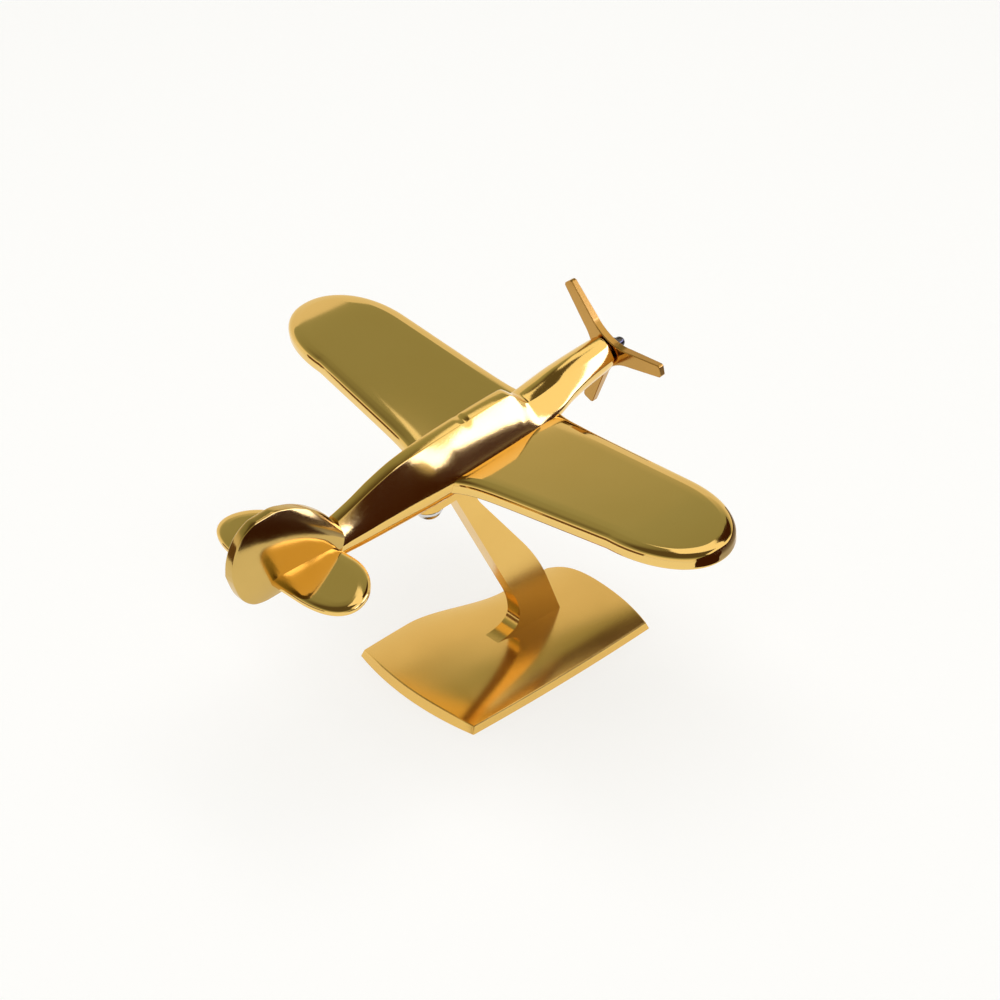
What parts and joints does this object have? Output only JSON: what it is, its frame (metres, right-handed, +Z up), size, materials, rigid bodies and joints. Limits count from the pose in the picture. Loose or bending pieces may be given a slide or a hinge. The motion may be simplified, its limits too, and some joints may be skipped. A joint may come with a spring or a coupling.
{
  "type": "desk aeroplane ornament",
  "caption": "Polished brass low-wing desk aeroplane with a free-turning propeller, bolted to a leaning stand arm on a pillow-shaped base.",
  "frame": {"origin": "middle of the base's underside, on the surface that the ornament stands on", "axes": "+X the direction of flight, +Y to port, +Z up"},
  "size_m": [0.1677, 0.2, 0.12],
  "materials": {
    "polished_brass": "mirror polished cast brass with fine hairlines",
    "bright_steel": "bright zinc-plated steel",
    "dark_steel": "polished dark steel",
    "felt": "dark green felt"
  },
  "bodies": {
    "root": {"base_plate": "polished_brass", "base_felt": "felt", "base_screws": "bright_steel", "stand_arm": "polished_brass", "stand_washers": "bright_steel", "stand_screws": "bright_steel", "fuselage": "polished_brass", "wing_port": "polished_brass", "wing_starboard": "polished_brass", "wing_dowels": "bright_steel", "tail_fin": "polished_brass", "tail_stud": "bright_steel", "tailplane_port": "polished_brass", "tailplane_starboard": "polished_brass", "tailplane_pin": "bright_steel", "propeller_stud": "bright_steel", "rear_washer": "bright_steel", "front_washer": "bright_steel", "dome_nut": "dark_steel"},
    "propeller": {"propeller": "polished_brass"}
  },
  "joints": [
    {"name": "propeller_spin", "type": "hinge", "parent": "root", "child": "propeller", "pos_m": [0.04765, 0, 0.0983], "axis": [0.9969, 0, 0.0785], "continuous": true}
  ]
}
